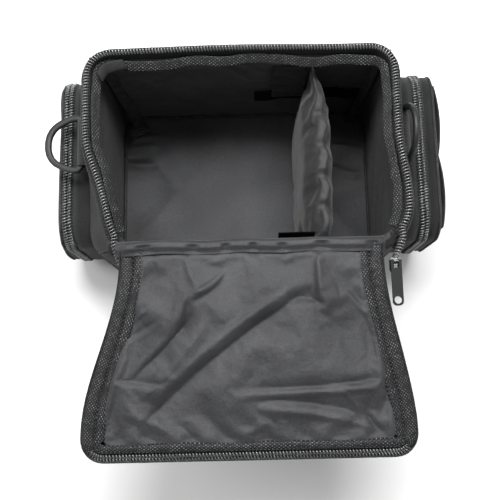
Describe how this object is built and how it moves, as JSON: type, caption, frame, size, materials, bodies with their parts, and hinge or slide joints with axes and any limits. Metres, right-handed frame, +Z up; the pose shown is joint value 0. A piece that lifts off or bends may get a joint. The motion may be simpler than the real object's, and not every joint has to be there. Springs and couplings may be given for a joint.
{
  "type": "flight bag",
  "caption": "Padded soft flight bag with a lid that zips round three sides, a lift-out divider, D-rings and zipped pockets on its front and sides.",
  "frame": {"origin": "centre of the base, on the surface it stands on", "axes": "+X to the right seen from the front, +Y to the back, +Z up"},
  "size_m": [0.3973, 0.3867, 0.187],
  "materials": {
    "outer_cloth": "woven polyester, matte charcoal",
    "lining_cloth": "grey nylon lining with a soft sheen",
    "binding": "black binding tape, ribbed",
    "zip_tape": "black woven zip tape",
    "zip_coil": "black nylon coil",
    "foam": "closed-cell foam, grey",
    "board": "stiff plastic sheet",
    "hook_loop": "black hook-and-loop tape",
    "webbing": "black nylon webbing",
    "ring_plastic": "black moulded acetal",
    "slider_metal": "black enamelled zinc",
    "pull_rubber": "black moulded pull"
  },
  "bodies": {
    "bag": {"back_foam": "foam", "back_lining": "lining_cloth", "back_loop_strip": "hook_loop", "back_panel": "outer_cloth", "base_board": "board", "base_panel": "outer_cloth", "body_zip_coil": "zip_coil", "body_zip_tape": "zip_tape", "corner_bindings": "binding", "d_ring_loops": "webbing", "floor_binding": "binding", "floor_foam": "foam", "floor_lining": "lining_cloth", "front_foam": "foam", "front_lining": "lining_cloth", "front_loop_strip": "hook_loop", "front_panel": "outer_cloth", "front_pocket_gusset": "outer_cloth", "front_pocket_zip_inner": "zip_coil", "hinge_strip": "lining_cloth", "left_foam": "foam", "left_lining": "lining_cloth", "left_panel": "outer_cloth", "left_pocket_gusset": "outer_cloth", "left_pocket_zip_inner": "zip_coil", "right_foam": "foam", "right_lining": "lining_cloth", "right_panel": "outer_cloth", "right_pocket_gusset": "outer_cloth", "right_pocket_zip_inner": "zip_coil", "rim_binding": "binding", "zip_end_tabs": "binding"},
    "lid": {"carry_handle": "webbing", "lid_binding": "binding", "lid_foam": "foam", "lid_lining": "lining_cloth", "lid_panel": "outer_cloth", "lid_zip_coil": "zip_coil", "lid_zip_tape": "zip_tape"},
    "divider": {"divider_back_tab": "hook_loop", "divider_cover": "lining_cloth", "divider_foam": "foam", "divider_front_tab": "hook_loop"},
    "front_pocket_cover": {"front_pocket_cover": "outer_cloth", "front_pocket_zip_outer": "zip_coil"},
    "front_pocket_pull": {"front_pocket_pull": "pull_rubber"},
    "front_pocket_slider": {"front_pocket_slider": "slider_metal"},
    "left_ring": {"left_d_ring": "ring_plastic"},
    "left_pocket_cover": {"left_pocket_cover": "outer_cloth", "left_pocket_zip_outer": "zip_coil"},
    "left_pocket_pull": {"left_pocket_pull": "pull_rubber"},
    "left_pocket_slider": {"left_pocket_slider": "slider_metal"},
    "main_pull": {"main_pull": "pull_rubber"},
    "main_slider": {"main_slider": "slider_metal"},
    "right_ring": {"right_d_ring": "ring_plastic"},
    "right_pocket_cover": {"right_pocket_cover": "outer_cloth", "right_pocket_zip_outer": "zip_coil", "right_webbing": "webbing"},
    "right_pocket_pull": {"right_pocket_pull": "pull_rubber"},
    "right_pocket_slider": {"right_pocket_slider": "slider_metal"}
  },
  "joints": [
    {"name": "lid_hinge", "type": "hinge", "parent": "bag", "child": "lid", "pos_m": [0, -0.095, 0.181], "axis": [1, 0, 0], "range_deg": [-187, 0]},
    {"name": "divider_lift", "type": "slide", "parent": "bag", "child": "divider", "axis": [0, 0, 1], "range_m": [0, 0.16]},
    {"name": "left_ring_swing", "type": "hinge", "parent": "bag", "child": "left_ring", "pos_m": [-0.156, 0.012, 0.15], "axis": [0, 1, 0], "range_deg": [0, 75]},
    {"name": "right_ring_swing", "type": "hinge", "parent": "bag", "child": "right_ring", "pos_m": [0.156, 0.012, 0.15], "axis": [0, 1, 0], "range_deg": [0, 92]},
    {"name": "main_slider_travel", "type": "slide", "parent": "bag", "child": "main_slider", "axis": [0, 1, 0], "range_m": [0, 0.165]},
    {"name": "main_pull_swing", "type": "hinge", "parent": "main_slider", "child": "main_pull", "pos_m": [0.1345, -0.115, 0.1782], "axis": [-1, 0, 0], "range_deg": [0, 110]},
    {"name": "left_pocket_open", "type": "hinge", "parent": "bag", "child": "left_pocket_cover", "pos_m": [-0.1762, 0.004, 0.0147], "axis": [0, -1, 0], "range_deg": [0, 35]},
    {"name": "left_pocket_slider_travel", "type": "slide", "parent": "bag", "child": "left_pocket_slider", "axis": [0, 0, 1], "range_m": [0, 0.04]},
    {"name": "left_pocket_pull_swing", "type": "hinge", "parent": "left_pocket_slider", "child": "left_pocket_pull", "pos_m": [-0.1762, 0.0974, 0.055], "axis": [1, 0, 0], "range_deg": [0, 120]},
    {"name": "right_pocket_open", "type": "hinge", "parent": "bag", "child": "right_pocket_cover", "pos_m": [0.1762, 0.004, 0.0147], "axis": [0, 1, 0], "range_deg": [0, 35]},
    {"name": "right_pocket_slider_travel", "type": "slide", "parent": "bag", "child": "right_pocket_slider", "axis": [0, 0, 1], "range_m": [0, 0.04]},
    {"name": "right_pocket_pull_swing", "type": "hinge", "parent": "right_pocket_slider", "child": "right_pocket_pull", "pos_m": [0.1762, 0.0974, 0.055], "axis": [1, 0, 0], "range_deg": [0, 120]},
    {"name": "front_pocket_open", "type": "hinge", "parent": "bag", "child": "front_pocket_cover", "pos_m": [0, -0.1262, 0.0147], "axis": [1, 0, 0], "range_deg": [0, 35]},
    {"name": "front_pocket_slider_travel", "type": "slide", "parent": "bag", "child": "front_pocket_slider", "axis": [0, 0, 1], "range_m": [0, 0.06]},
    {"name": "front_pocket_pull_swing", "type": "hinge", "parent": "front_pocket_slider", "child": "front_pocket_pull", "pos_m": [0.1174, -0.1262, 0.055], "axis": [0, -1, 0], "range_deg": [0, 120]}
  ]
}
